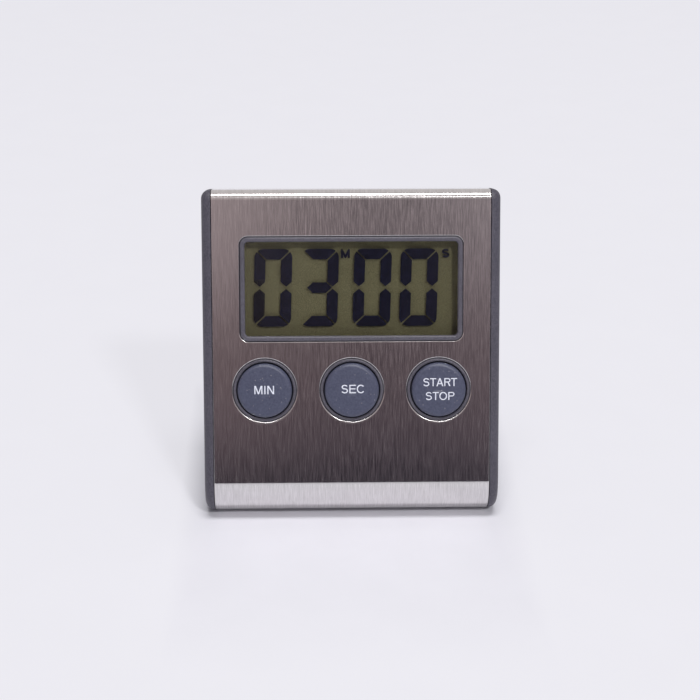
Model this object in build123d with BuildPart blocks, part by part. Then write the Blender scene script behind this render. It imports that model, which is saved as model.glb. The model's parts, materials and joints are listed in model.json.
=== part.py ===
from build123d import *
import os
from math import cos, radians, sin, tan

os.makedirs("parts", exist_ok=True)

# A free-standing digital kitchen timer: a bent steel face on a wedge-shaped plastic case.
# Millimetres. X runs across the face, Y from the front to the back, Z up from the table.

# Outer form
WIDTH = 70.0
DEPTH = 30.0
LEAN = 18.0  # the face leans back from upright, in degrees
FACE_RUN = 67.0  # flat stretch of the face between its two bends
BROW_RADIUS = 2.3  # bend along the top edge
TOE_RADIUS = 7.8  # bend along the bottom edge
FOOT_STANDOFF = 0.2  # height of the case floor above the table
CHEEK = 2.2  # thickness of each side cheek
CHEEK_ROUND = 2.0  # rounding of the cheeks' outer edges
BACK_ROUND = 2.5  # rounding of the two long rear edges
BACK_WALL = 2.0
BASE_WALL = 1.8

# Steel face and the plastic frame glued behind it
SHEET = 0.4
RIM_ROUND = 0.3  # rolled edge round each opening in the steel
SIDE_ROUND = 0.2  # rolled edge down each side of the steel
GLUE = 0.05
FRAME_WALL = 1.4
SIDE_GAP = 0.1  # between the steel's cut edge and the cheek
TOP_FLANGE = 4.15
PLATE_BASE_FLANGE = 3.05
FRAME_BASE_FLANGE = 3.0
CASE_FLOOR_FRONT = -4.0  # Y where the case floor starts, behind the steel's lower flange

# Display opening, measured up the face from the end of the lower bend
DISPLAY_UP = 46.1
CUTOUT_WIDTH = 52.3
CUTOUT_HEIGHT = 24.6
CUTOUT_CORNER = 2.0
LIP_FIT = 0.1  # gap all round between the lip and the steel
LIP_WIDTH = 1.1
LIP_PROUD = 0.4
LIP_ROUND = 0.38
WINDOW_CORNER = 0.9
LENS_LEDGE = 0.9  # how far the lens reaches behind the lip
LENS_FIT = 0.1
LENS_DEPTH = 1.0  # front of the lens, below the steel's surface
LENS_THICK = 0.8

# Push buttons
BUTTON_UP = 22.2
BUTTON_PITCH = 20.5
STEEL_HOLE_RADIUS = 7.5
COLLAR_RADIUS = 7.4
COLLAR_PROUD = 0.1
COLLAR_ROUND = 0.25
BORE_RADIUS = 6.7
CAP_RADIUS = 6.42
CAP_CROWN = 1.25
CAP_DOME = 0.2  # fall of the crown from its middle to its rim
CAP_ROUND = 0.9
CAP_FLANGE_RADIUS = 7.4
CAP_FLANGE_DEPTH = 2.0
CAP_FLANGE_THICK = 0.7
CAP_HOLLOW_RADIUS = 5.2
CAP_ROOF_DEPTH = 0.6
STEM_RADIUS = 1.8
TRAVEL = 0.8

# Display cell, keypad and circuit board, stacked by depth below the steel's surface
GLASS_WIDTH = 54.0
GLASS_HEIGHT = 29.0
GLASS_THICK = 0.7
GLASS_DEPTH = 1.9
CELL_GAP = 0.1
REAR_GLASS_HEIGHT = 24.6
REFLECTOR_THICK = 0.2
REFLECTOR_MARGIN = 0.2
STRIP_LENGTH = 50.0
STRIP_WIDTH = 1.8
HOLDER_WALL = 0.9
HOLDER_FIT = 0.1
BOARD_DEPTH = 5.6
BOARD_THICK = 1.2
BOARD_WIDTH = 54.0
BOARD_LOW = 8.2
BOARD_HIGH = 66.0
BOARD_POST_X = 22.0
BOARD_POST_UPS = (10.3, 64.0)
BOARD_POST_RADIUS = 1.8
BOARD_PILOT_RADIUS = 0.8
BOARD_PILOT_DEPTH = 2.4
MAT_WIDTH = 53.0
MAT_HEIGHT = 15.6
MAT_THICK = 0.8
DOME_BASE_RADIUS = 4.2
DOME_TOP_RADIUS = 2.6
DOME_WALL = 0.8
DOME_ROOF = 0.6
PILL_RADIUS = 1.5
PILL_THICK = 0.6
PILL_GAP = 0.05  # left between the pill and the board at full travel

# Parts on the rear side of the board, as places up the face and sizes
CHIP_UP = 44.7
CHIP_RADIUS = 6.0
CHIP_TALL = 1.4
CHIP_ROUND = 1.25
CRYSTAL_X = 14.0
CRYSTAL_UP = 47.7
CRYSTAL_RADIUS = 1.0
CRYSTAL_LENGTH = 6.0
CRYSTAL_ROUND = 0.3
COMPONENT_CENTRES = [(-16, 50.7), (-16, 46.7), (-16, 42.7), (12, 38.7), (16, 38.7)]
COMPONENT_LENGTH = 3.2
COMPONENT_WIDTH = 1.6
COMPONENT_TALL = 0.8

# Numerals of the display
DIGIT_WIDTH = 8.85
DIGIT_HEIGHT = 18.35
DIGIT_UP = 46.2
DIGIT_CENTRES = (-18.45, -7.5, 4.95, 15.95)
DIGITS = "0300"
BAR_UPRIGHT = 2.6
BAR_LEVEL = 2.5
BAR_GAP = 0.24
BAR_TIP = 0.29  # from the middle line to the point of an upright bar
BAR_POINT = 1.1  # length of that point
BAR_CORNER = 2.1
SLANT = 1.6
MARK_SIZE = 1.6
MARK_SLIM = 1.25
MARK_OPENING = 25.0  # where each bow of the letter S ends, in degrees above level
MARK_STROKE = 0.5
MARK_UP = 54.2
MINUTE_MARK_X = -1.35
SECOND_MARK_X = 22.26

# Battery box, its door and the cell
BOX_HALF = 26.6
BOX_FRONT = 0.4
BOX_TOP = 18.8
BAY_HALF = 25.0
BAY_FRONT = 1.9
BAY_LOW = 4.6
BAY_HIGH = 17.4
CELL_Y = 7.6
CELL_Z = 11.0
CELL_RADIUS = 5.15
CELL_LENGTH = 44.5
CELL_ROUND = 0.5
NUB_LENGTH = 0.9
NUB_RADIUS = 1.9
SADDLE_X = 12.0
SADDLE_THICK = 1.6
SADDLE_FIT = 0.15
SADDLE_DEEP = 3.6
DOOR_FIT = 0.2
DOOR_THICK = 1.8
HINGE_Y = 13.9
HINGE_Z = 6.0
BARREL_RADIUS = 1.1
PIN_RADIUS = 0.6
PIN_FIT = 0.05
PIN_REACH = 1.2
LATCH_HALF = 5.0
LATCH_SLOT = 0.8
LATCH_DEEP = 3.6
GRIP_LENGTH = 16.0
GRIP_WIDTH = 0.9
GRIP_PITCH = 1.7
GRIP_DEEP = 0.4
GRIP_RISE = 5.2  # middle of the grooves above the hinge
SCOOP_RADIUS = 6.0
SCOOP_DEEP = 1.0

# Battery contacts, folded from strip, and the wires
STRIP_THICK = 0.4
STRIP_TALL = 7.0
STRIP_BEND = 0.5
TAIL_Y = -0.9  # end of the tail in front of the battery box
FOLD_Y = 11.2
LEAF_TIP_Y = 5.2
LEAF_TIP_BACK = 1.2
LEAF_REACH = 0.15  # from the cell's end to the corner of the leaf's middle line
WIRE_RADIUS = 0.45
WIRE_BEND = 1.2
WIRE_STRAIGHT = 3.0  # last run of a wire, square to what it meets
TAIL_WIRE_X = 22.0
TAIL_WIRE_Y = -0.35
TAIL_WIRE_UP = 15.7
CERAMIC_WIRE_X = 3.0
RIM_WIRE_X = -8.7
BUZZER_WIRE_UP = 33.7

# Rear fittings
MAGNET_X = 21.0
MAGNET_Z = 56.0
MAGNET_RADIUS = 6.0
MAGNET_THICK = 2.2
MAGNET_FIT = 0.05
BOSS_RADIUS = 7.5
BOSS_DEEP = 1.4
BUZZER_Z = 47.0
BUZZER_RADIUS = 10.4
BUZZER_PLATE_THICK = 0.3
CERAMIC_RADIUS = 7.0
CERAMIC_THICK = 0.2
SEAT_OUTER = 11.0
SEAT_INNER = 9.5
SOUND_HOLE_RADIUS = 0.8
SOUND_RING = 4.0

# Case screws and their posts
SCREW_X = 30.5
SCREW_MIDDLE_Z = 45.0
SCREW_RISE = 21.0  # each pair of screws stands this far above and below the middle
POST_RADIUS = 2.0
POST_GAP = 0.1  # between a post's end and the back wall
PILOT_RADIUS = 1.0
PILOT_LENGTH = 6.4
SHANK_RADIUS = 0.95
SHANK_LENGTH = 6.8
CLEARANCE_RADIUS = 1.15
HEAD_RADIUS = 1.8
HEAD_TALL = 1.0
SINK_RADIUS = 2.1
SINK_DEEP = 1.2
BOARD_HEAD_RADIUS = 1.5
BOARD_HEAD_TALL = 0.8
BOARD_SHANK_RADIUS = 0.75
BOARD_SHANK_LENGTH = 4.0
CROSS_SPAN = 2.1
CROSS_WIDTH = 0.5
CROSS_DEEP = 0.5

# Rubber feet
FOOT_LENGTH = 50.0
FOOT_WIDTH = 3.6
FOOT_RECESS = 0.8
FOOT_FIT = 0.2
FOOT_YS = (-1.6, 10.0)

# Directions and corner points of the side section, as (Y, Z)
out = Vector(-cos(radians(LEAN)), sin(radians(LEAN)))
up = Vector(sin(radians(LEAN)), cos(radians(LEAN)))
back_y = DEPTH / 2
wall_y = back_y - BACK_WALL
floor_z = FOOT_STANDOFF + BASE_WALL
toe_centre = Vector(TOE_RADIUS - back_y, FOOT_STANDOFF + TOE_RADIUS)
face_start = toe_centre + out * TOE_RADIUS
brow_centre = face_start + up * FACE_RUN - out * BROW_RADIUS
case_half = WIDTH / 2 - CHEEK
plate_half = case_half - SIDE_GAP
frame_half = plate_half - SIDE_GAP
frame_front = SHEET + GLUE
frame_back = frame_front + FRAME_WALL
beyond = 2 * WIDTH  # reaches past the whole timer when something is cut away

# The face plane has X across, Y up the face and Z outwards. The back plane is seen from behind.
face = Plane(
    origin=(0, face_start.X, face_start.Y),
    x_dir=(1, 0, 0),
    z_dir=(0, out.X, out.Y),
)
outward = Axis(face.origin, face.z_dir)
back = Plane(origin=(0, back_y, 0), x_dir=(-1, 0, 0), z_dir=(0, 1, 0))
screw_centre = Plane(origin=(0, back_y, SCREW_MIDDLE_Z), x_dir=(-1, 0, 0), z_dir=(0, 1, 0))
button_centres = [(step * BUTTON_PITCH, BUTTON_UP) for step in (-1, 0, 1)]
board_post_centres = [(x, u) for x in (-BOARD_POST_X, BOARD_POST_X) for u in BOARD_POST_UPS]


def below_face(depth):
    """Plane parallel to the face, at a depth below the steel's outer surface."""
    return face.offset(-depth)


def looking_forward(y):
    """Upright plane at a given Y whose normal points to the front."""
    return Plane.XZ.offset(-y)


def at_face(x, u, depth):
    """Point in space that lies at (x, u) on the face and a depth below it."""
    return face.from_local_coords((x, u, -depth))


def draw_wrap(inset, top_run, base_run):
    """Draw the bent outline of the face at a depth below the steel's outer surface.

    It runs forward along the top, round the brow, down the face, round the toe and
    back under the base. Returns its two ends.
    """
    brow_end = brow_centre + up * (BROW_RADIUS - inset)
    top = Line(brow_end - out * top_run, brow_end)
    brow = JernArc(top @ 1, out, BROW_RADIUS - inset, 90)
    flat = Line(brow @ 1, brow @ 1 - up * FACE_RUN)
    toe = JernArc(flat @ 1, -up, TOE_RADIUS - inset, 90 + LEAN)
    base = Line(toe @ 1, toe @ 1 + Vector(base_run, 0))
    return top @ 0, base @ 1


def draw_band(outer, inner, top_run, base_run):
    """Draw the closed section of a sheet that follows the bent outline."""
    outer_ends = draw_wrap(outer, top_run, base_run)
    inner_ends = draw_wrap(inner, top_run, base_run)
    Line(outer_ends[0], inner_ends[0])
    Line(outer_ends[1], inner_ends[1])


# Steel face: one sheet bent over the top and under the front, pierced for the display and buttons
with BuildPart() as front_plate:
    with BuildSketch(Plane.YZ):
        with BuildLine():
            skin_ends = draw_wrap(0, TOP_FLANGE, PLATE_BASE_FLANGE)
            Line(skin_ends[1], skin_ends[0])
        make_face()
    extrude(amount=plate_half, both=True)
    side_faces = front_plate.faces().sort_by(Axis.X)
    fillet(side_faces[0].edges() + side_faces[-1].edges(), radius=SIDE_ROUND)
    with BuildSketch(Plane.YZ):
        with BuildLine():
            core_ends = draw_wrap(SHEET, DEPTH, DEPTH)
            Line(core_ends[1], core_ends[0])
        make_face()
    extrude(amount=WIDTH, both=True, mode=Mode.SUBTRACT)
    with BuildSketch(face):
        with Locations((0, DISPLAY_UP)):
            RectangleRounded(CUTOUT_WIDTH, CUTOUT_HEIGHT, CUTOUT_CORNER)
        with Locations(*button_centres):
            Circle(STEEL_HOLE_RADIUS)
    extrude(amount=2 * SHEET, both=True, mode=Mode.SUBTRACT)
    rims = front_plate.faces().sort_by(outward)[-1].inner_wires()
    fillet(rims.edges(), radius=RIM_ROUND)
front_plate.part.label = "front_plate"
export_step(front_plate.part, "parts/front_plate.step")

# Plastic frame behind the steel, with the display lip, the button collars and the posts
lip_width = CUTOUT_WIDTH - 2 * LIP_FIT
lip_height = CUTOUT_HEIGHT - 2 * LIP_FIT
window_width = lip_width - 2 * LIP_WIDTH
window_height = lip_height - 2 * LIP_WIDTH
lens_width = window_width + 2 * LENS_LEDGE
lens_height = window_height + 2 * LENS_LEDGE
post_centres = [
    (x, SCREW_MIDDLE_Z + rise) for x in (-SCREW_X, SCREW_X) for rise in (-SCREW_RISE, SCREW_RISE)
]
with BuildPart() as front_frame:
    with BuildSketch(looking_forward(wall_y - POST_GAP)):
        with Locations(*post_centres):
            Circle(POST_RADIUS)
    extrude(amount=DEPTH)
    with BuildSketch(below_face(frame_front)):
        Rectangle(beyond, beyond)
    extrude(amount=DEPTH, mode=Mode.SUBTRACT)
    with BuildSketch(Plane.YZ):
        with BuildLine():
            draw_band(frame_front, frame_back, TOP_FLANGE, FRAME_BASE_FLANGE)
        make_face()
    extrude(amount=frame_half, both=True)
    with BuildSketch(looking_forward(wall_y - POST_GAP)):
        with Locations(*post_centres):
            Circle(PILOT_RADIUS)
    extrude(amount=PILOT_LENGTH, mode=Mode.SUBTRACT)
    with BuildSketch(below_face(frame_front)):
        with Locations((0, DISPLAY_UP)):
            RectangleRounded(lip_width, lip_height, CUTOUT_CORNER - LIP_FIT)
    extrude(amount=frame_front + LIP_PROUD)
    with BuildSketch(below_face(frame_front)):
        with Locations(*button_centres):
            Circle(COLLAR_RADIUS)
    extrude(amount=frame_front + COLLAR_PROUD)
    with BuildSketch(below_face(frame_back)):
        with Locations(*board_post_centres):
            Circle(BOARD_POST_RADIUS)
    extrude(amount=frame_back - BOARD_DEPTH)
    with BuildSketch(face):
        with Locations((0, DISPLAY_UP)):
            RectangleRounded(window_width, window_height, WINDOW_CORNER)
        with Locations(*button_centres):
            Circle(BORE_RADIUS)
    extrude(amount=2 * frame_back, both=True, mode=Mode.SUBTRACT)
    with BuildSketch(below_face(LENS_DEPTH)):
        with Locations((0, DISPLAY_UP)):
            RectangleRounded(lens_width, lens_height, WINDOW_CORNER)
    extrude(amount=-FRAME_WALL, mode=Mode.SUBTRACT)
    with BuildSketch(below_face(BOARD_PILOT_DEPTH)):
        with Locations(*board_post_centres):
            Circle(BOARD_PILOT_RADIUS)
    extrude(amount=-BOARD_DEPTH, mode=Mode.SUBTRACT)
    raised = front_frame.faces().filter_by(outward).group_by(outward)
    lip_edges = raised[-1].edges()
    collar_edges = raised[-2].edges()
    fillet(lip_edges, radius=LIP_ROUND)
    fillet(collar_edges, radius=COLLAR_ROUND)
front_frame.part.label = "front_frame"
export_step(front_frame.part, "parts/front_frame.step")

# Rear case: both side cheeks, the back, the floor and the battery box in one moulding
top_to_back = (back_y - (brow_centre + up * BROW_RADIUS).X) / cos(radians(LEAN))
bay_wide = 2 * BAY_HALF
bay_tall = BAY_HIGH - BAY_LOW
bay_middle = (BAY_HIGH + BAY_LOW) / 2
slot_x = BAY_HALF - GLUE - STRIP_THICK / 2
with BuildPart() as rear_case:
    with BuildSketch(Plane.YZ) as case_profile:
        with BuildLine():
            ends = draw_wrap(0, top_to_back, back_y - toe_centre.X)
            Line(ends[1], ends[0])
        make_face()
        fillet(case_profile.vertices().group_by(Axis.X)[-1], radius=BACK_ROUND)
    extrude(amount=WIDTH / 2, both=True)
    cheek_faces = rear_case.faces().sort_by(Axis.X)
    fillet(cheek_faces[0].edges() + cheek_faces[-1].edges(), radius=CHEEK_ROUND)
    with BuildSketch(Plane.YZ):
        with BuildLine():
            Polyline(
                (-beyond, -beyond),
                (CASE_FLOOR_FRONT, -beyond),
                (CASE_FLOOR_FRONT, floor_z),
                (wall_y, floor_z),
                (wall_y, beyond),
                (-beyond, beyond),
                close=True,
            )
        make_face()
    extrude(amount=case_half, both=True, mode=Mode.SUBTRACT)
    with BuildSketch(looking_forward(wall_y)):
        with Locations((0, (floor_z + BOX_TOP) / 2)):
            Rectangle(2 * BOX_HALF, BOX_TOP - floor_z)
    extrude(amount=wall_y - BOX_FRONT)
    with BuildSketch(looking_forward(wall_y)):
        with Locations((-MAGNET_X, MAGNET_Z), (MAGNET_X, MAGNET_Z)):
            Circle(BOSS_RADIUS)
        with Locations((0, BUZZER_Z)):
            Circle(SEAT_OUTER)
            Circle(SEAT_INNER, mode=Mode.SUBTRACT)
    extrude(amount=BOSS_DEEP)
    with BuildSketch(back):
        with Locations((0, bay_middle)):
            Rectangle(bay_wide, bay_tall)
    extrude(amount=BAY_FRONT - back_y, mode=Mode.SUBTRACT)
    for saddle_x in (-SADDLE_X, SADDLE_X):
        with BuildSketch(Plane.YZ.offset(saddle_x)):
            with Locations((BAY_FRONT + SADDLE_DEEP / 2, bay_middle)):
                Rectangle(SADDLE_DEEP, bay_tall)
            with Locations((CELL_Y, CELL_Z)):
                Circle(CELL_RADIUS + SADDLE_FIT, mode=Mode.SUBTRACT)
        extrude(amount=SADDLE_THICK / 2, both=True)
    with BuildSketch(looking_forward(BAY_FRONT)):
        with Locations((-slot_x, CELL_Z), (slot_x, CELL_Z)):
            Rectangle(2 * STRIP_THICK, STRIP_TALL + STRIP_THICK)
    extrude(amount=2 * BACK_WALL, mode=Mode.SUBTRACT)
    with BuildSketch(Plane.YZ):
        with Locations((HINGE_Y, HINGE_Z)):
            Circle(PIN_RADIUS + PIN_FIT)
    extrude(amount=BAY_HALF + PIN_REACH, both=True, mode=Mode.SUBTRACT)
    with BuildSketch(back):
        with Locations((0, BAY_HIGH)):
            Circle(SCOOP_RADIUS)
    extrude(amount=-SCOOP_DEEP, mode=Mode.SUBTRACT)
    with BuildSketch(back):
        with Locations((-MAGNET_X, MAGNET_Z), (MAGNET_X, MAGNET_Z)):
            Circle(MAGNET_RADIUS + MAGNET_FIT)
    extrude(amount=-MAGNET_THICK - MAGNET_FIT, mode=Mode.SUBTRACT)
    with BuildSketch(back):
        with Locations((0, BUZZER_Z)):
            Circle(SOUND_HOLE_RADIUS)
            with PolarLocations(SOUND_RING, 6):
                Circle(SOUND_HOLE_RADIUS)
    extrude(amount=-2 * BACK_WALL, mode=Mode.SUBTRACT)
    with Locations(screw_centre):
        with GridLocations(2 * SCREW_X, 2 * SCREW_RISE, 2, 2):
            CounterBoreHole(CLEARANCE_RADIUS, SINK_RADIUS, SINK_DEEP, depth=2 * BACK_WALL)
    with BuildSketch(Plane.XY.offset(FOOT_STANDOFF)):
        with Locations(*[(0, y) for y in FOOT_YS]):
            SlotOverall(FOOT_LENGTH + 2 * FOOT_FIT, FOOT_WIDTH + 2 * FOOT_FIT)
    extrude(amount=FOOT_RECESS, mode=Mode.SUBTRACT)
rear_case.part.label = "rear_case"
export_step(rear_case.part, "parts/rear_case.step")

# Battery door: a plate on a hinge barrel with moulded pins, a sprung tongue and grip grooves
door_top = BAY_HIGH - DOOR_FIT
door_half = BAY_HALF - DOOR_FIT
with BuildPart() as battery_door:
    with BuildSketch(Plane.YZ):
        with Locations((HINGE_Y, HINGE_Z)):
            Circle(BARREL_RADIUS)
        with Locations((back_y - DOOR_THICK / 2, (HINGE_Z + door_top) / 2)):
            Rectangle(DOOR_THICK, door_top - HINGE_Z)
    extrude(amount=door_half, both=True)
    with BuildSketch(Plane.YZ):
        with Locations((HINGE_Y, HINGE_Z)):
            Circle(PIN_RADIUS)
    extrude(amount=BAY_HALF + PIN_REACH - PIN_FIT, both=True)
    with BuildSketch(back):
        with Locations((-LATCH_HALF, door_top), (LATCH_HALF, door_top)):
            Rectangle(LATCH_SLOT, 2 * LATCH_DEEP)
    extrude(amount=-2 * DOOR_THICK, mode=Mode.SUBTRACT)
    with BuildSketch(back):
        with Locations((0, HINGE_Z + GRIP_RISE)):
            with GridLocations(GRIP_PITCH, GRIP_PITCH, 1, 3):
                SlotOverall(GRIP_LENGTH, GRIP_WIDTH)
    extrude(amount=-GRIP_DEEP, mode=Mode.SUBTRACT)
battery_door.part.label = "battery_door"
export_step(battery_door.part, "parts/battery_door.step")

# Clear lens behind the lip
with BuildPart() as display_window:
    with BuildSketch(below_face(LENS_DEPTH)):
        with Locations((0, DISPLAY_UP)):
            RectangleRounded(
                lens_width - 2 * LENS_FIT, lens_height - 2 * LENS_FIT, WINDOW_CORNER - LENS_FIT
            )
    extrude(amount=-LENS_THICK)
display_window.part.label = "display_window"
export_step(display_window.part, "parts/display_window.step")

# Display cell: two glass plates with the printed bars between them and a reflector behind
bars_depth = GLASS_DEPTH + GLASS_THICK
rear_glass_depth = bars_depth + CELL_GAP
reflector_depth = rear_glass_depth + GLASS_THICK
with BuildPart() as lcd_front_glass:
    with BuildSketch(below_face(GLASS_DEPTH)):
        with Locations((0, DISPLAY_UP)):
            Rectangle(GLASS_WIDTH, GLASS_HEIGHT)
    extrude(amount=-GLASS_THICK)
lcd_front_glass.part.label = "lcd_front_glass"
export_step(lcd_front_glass.part, "parts/lcd_front_glass.step")

with BuildPart() as lcd_rear_glass:
    with BuildSketch(below_face(rear_glass_depth)):
        with Locations((0, DISPLAY_UP)):
            Rectangle(GLASS_WIDTH, REAR_GLASS_HEIGHT)
    extrude(amount=-GLASS_THICK)
lcd_rear_glass.part.label = "lcd_rear_glass"
export_step(lcd_rear_glass.part, "parts/lcd_rear_glass.step")

with BuildPart() as lcd_reflector:
    with BuildSketch(below_face(reflector_depth)):
        with Locations((0, DISPLAY_UP)):
            Rectangle(
                GLASS_WIDTH - 2 * REFLECTOR_MARGIN, REAR_GLASS_HEIGHT - 2 * REFLECTOR_MARGIN
            )
    extrude(amount=-REFLECTOR_THICK)
lcd_reflector.part.label = "lcd_reflector"
export_step(lcd_reflector.part, "parts/lcd_reflector.step")

# Numerals: seven mitred bars round a figure of eight, of which each digit lights some
half_w = DIGIT_WIDTH / 2
half_h = DIGIT_HEIGHT / 2
inner_w = half_w - BAR_UPRIGHT
inner_h = half_h - BAR_LEVEL
mid_w = half_w - BAR_UPRIGHT / 2
level_bar = [
    (half_w - BAR_GAP, half_h),
    (inner_w - BAR_GAP, inner_h),
    (BAR_GAP - inner_w, inner_h),
    (BAR_GAP - half_w, half_h),
]
upright_bar = [
    (half_w, half_h - BAR_GAP),
    (half_w, BAR_TIP + BAR_POINT),
    (mid_w, BAR_TIP),
    (inner_w, BAR_TIP + BAR_POINT),
    (inner_w, inner_h - BAR_GAP),
]
middle_bar = [
    (mid_w - BAR_GAP, 0),
    (inner_w - BAR_GAP, BAR_LEVEL / 2),
    (BAR_GAP - inner_w, BAR_LEVEL / 2),
    (BAR_GAP - mid_w, 0),
    (BAR_GAP - inner_w, -BAR_LEVEL / 2),
    (inner_w - BAR_GAP, -BAR_LEVEL / 2),
]
corners = [(half_w, half_h), (-half_w, half_h), (-half_w, -half_h), (half_w, -half_h)]
bars = {
    "top": [(x, y) for x, y in level_bar],
    "bottom": [(x, -y) for x, y in level_bar],
    "middle": middle_bar,
    "upper_right": upright_bar,
    "upper_left": [(-x, y) for x, y in upright_bar],
    "lower_right": [(x, -y) for x, y in upright_bar],
    "lower_left": [(-x, -y) for x, y in upright_bar],
}
unlit = {"0": ["middle"], "3": ["upper_left", "lower_left"]}


def slanted(points):
    """Lean a list of points to the right, as the numerals lean."""
    return [(x + y * tan(radians(SLANT)), y) for x, y in points]


def draw_digit(digit):
    """Sketch of one numeral about its own middle, with its four outer corners rounded."""
    with BuildSketch() as numeral:
        for name, points in bars.items():
            if name not in unlit[digit]:
                with BuildLine():
                    Polyline(*slanted(points), close=True)
                make_face()
        with BuildSketch(mode=Mode.INTERSECT) as outline:
            with BuildLine():
                Polyline(*slanted(corners), close=True)
            make_face()
            fillet(outline.vertices(), radius=BAR_CORNER)
    return numeral.sketch


# Unit letters beside the numerals, drawn as strokes of even width
half_mark = MARK_SIZE / 2
slim_mark = MARK_SLIM / 2
bow = MARK_SIZE / 4  # half the height of each bow of the letter S
mark_box = MARK_SIZE + MARK_STROKE
with BuildSketch() as minute_mark:
    with BuildLine():
        Polyline(
            (-half_mark, -mark_box / 2),
            (-half_mark, half_mark),
            (0, -half_mark),
            (half_mark, half_mark),
            (half_mark, -mark_box / 2),
        )
    trace(line_width=MARK_STROKE)
    Rectangle(mark_box, mark_box, mode=Mode.INTERSECT)  # takes the corners' long points off
with BuildSketch() as second_mark:
    with BuildLine():
        upper_bow = EllipticalCenterArc(
            (0, bow), slim_mark, bow, MARK_OPENING, arc_size=270 - MARK_OPENING
        )
        add(upper_bow.rotate(Axis.Z, 180))
    trace(line_width=MARK_STROKE)

with BuildPart() as lcd_segments:
    with BuildSketch(below_face(bars_depth)):
        for digit_x, digit in zip(DIGIT_CENTRES, DIGITS):
            with Locations((digit_x, DIGIT_UP)):
                add(draw_digit(digit))
        with Locations((MINUTE_MARK_X, MARK_UP)):
            add(minute_mark.sketch)
        with Locations((SECOND_MARK_X, MARK_UP)):
            add(second_mark.sketch)
    extrude(amount=-CELL_GAP)
lcd_segments.part.label = "lcd_segments"
export_step(lcd_segments.part, "parts/lcd_segments.step")

# Ring that centres the display cell between the frame and the circuit board
with BuildPart() as lcd_holder:
    with BuildSketch(below_face(frame_back)):
        with Locations((0, DISPLAY_UP)):
            Rectangle(
                GLASS_WIDTH + 2 * (HOLDER_FIT + HOLDER_WALL),
                GLASS_HEIGHT + 2 * (HOLDER_FIT + HOLDER_WALL),
            )
            Rectangle(
                GLASS_WIDTH + 2 * HOLDER_FIT, GLASS_HEIGHT + 2 * HOLDER_FIT, mode=Mode.SUBTRACT
            )
    extrude(amount=frame_back - BOARD_DEPTH)
lcd_holder.part.label = "lcd_holder"
export_step(lcd_holder.part, "parts/lcd_holder.step")

# Striped rubber strips that carry the signals from the board to the glass's two ledges
strip_offset = (GLASS_HEIGHT + REAR_GLASS_HEIGHT) / 4
for strip_name, strip_side in (("upper_zebra_strip", 1), ("lower_zebra_strip", -1)):
    with BuildPart() as zebra_strip:
        with BuildSketch(below_face(bars_depth)):
            with Locations((0, DISPLAY_UP + strip_side * strip_offset)):
                Rectangle(STRIP_LENGTH, STRIP_WIDTH)
        extrude(amount=bars_depth - BOARD_DEPTH)
    zebra_strip.part.label = strip_name
    export_step(zebra_strip.part, f"parts/{strip_name}.step")

# Circuit board and what is soldered to its rear side
board_back = BOARD_DEPTH + BOARD_THICK
with BuildPart() as circuit_board:
    with BuildSketch(below_face(BOARD_DEPTH)):
        with Locations((0, (BOARD_LOW + BOARD_HIGH) / 2)):
            Rectangle(BOARD_WIDTH, BOARD_HIGH - BOARD_LOW)
        with Locations(*board_post_centres):
            Circle(PILOT_RADIUS, mode=Mode.SUBTRACT)
    extrude(amount=-BOARD_THICK)
circuit_board.part.label = "circuit_board"
export_step(circuit_board.part, "parts/circuit_board.step")

with BuildPart() as chip_cover:
    with BuildSketch(below_face(board_back)):
        with Locations((0, CHIP_UP)):
            Circle(CHIP_RADIUS)
    extrude(amount=-CHIP_TALL)
    chip_rim = chip_cover.faces().sort_by(outward)[0].edges()
    fillet(chip_rim, radius=CHIP_ROUND)
chip_cover.part.label = "chip_cover"
export_step(chip_cover.part, "parts/chip_cover.step")

crystal_end = Plane(
    origin=at_face(CRYSTAL_X, CRYSTAL_UP, board_back + CRYSTAL_RADIUS + GLUE),
    x_dir=(1, 0, 0),
    z_dir=face.y_dir,
)
with BuildPart() as timing_crystal:
    with BuildSketch(crystal_end):
        Circle(CRYSTAL_RADIUS)
    extrude(amount=CRYSTAL_LENGTH)
    fillet(timing_crystal.edges(), radius=CRYSTAL_ROUND)
timing_crystal.part.label = "timing_crystal"
export_step(timing_crystal.part, "parts/timing_crystal.step")

with BuildPart() as board_components:
    with BuildSketch(below_face(board_back)):
        with Locations(*COMPONENT_CENTRES):
            Rectangle(COMPONENT_LENGTH, COMPONENT_WIDTH)
    extrude(amount=-COMPONENT_TALL)
board_components.part.label = "board_components"
export_step(board_components.part, "parts/board_components.step")

# Silicone keypad mat: a flat web on the board with one hollow dome under each button
mat_front = BOARD_DEPTH - MAT_THICK
pill_foot = BOARD_DEPTH - TRAVEL - PILL_GAP
pill_top = pill_foot - PILL_THICK
dome_top = pill_top - DOME_ROOF
with BuildPart() as keypad_mat:
    with BuildSketch(below_face(BOARD_DEPTH)):
        with Locations((0, BUTTON_UP)):
            Rectangle(MAT_WIDTH, MAT_HEIGHT)
    extrude(amount=MAT_THICK)
    for centre in button_centres:
        with BuildSketch(below_face(mat_front)):
            with Locations(centre):
                Circle(DOME_BASE_RADIUS)
        with BuildSketch(below_face(dome_top)):
            with Locations(centre):
                Circle(DOME_TOP_RADIUS)
        loft()
    for centre in button_centres:
        with BuildSketch(below_face(BOARD_DEPTH)):
            with Locations(centre):
                Circle(DOME_BASE_RADIUS - DOME_WALL)
        with BuildSketch(below_face(pill_top)):
            with Locations(centre):
                Circle(DOME_TOP_RADIUS - DOME_WALL)
        loft(mode=Mode.SUBTRACT)
keypad_mat.part.label = "keypad_mat"
export_step(keypad_mat.part, "parts/keypad_mat.step")

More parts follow.
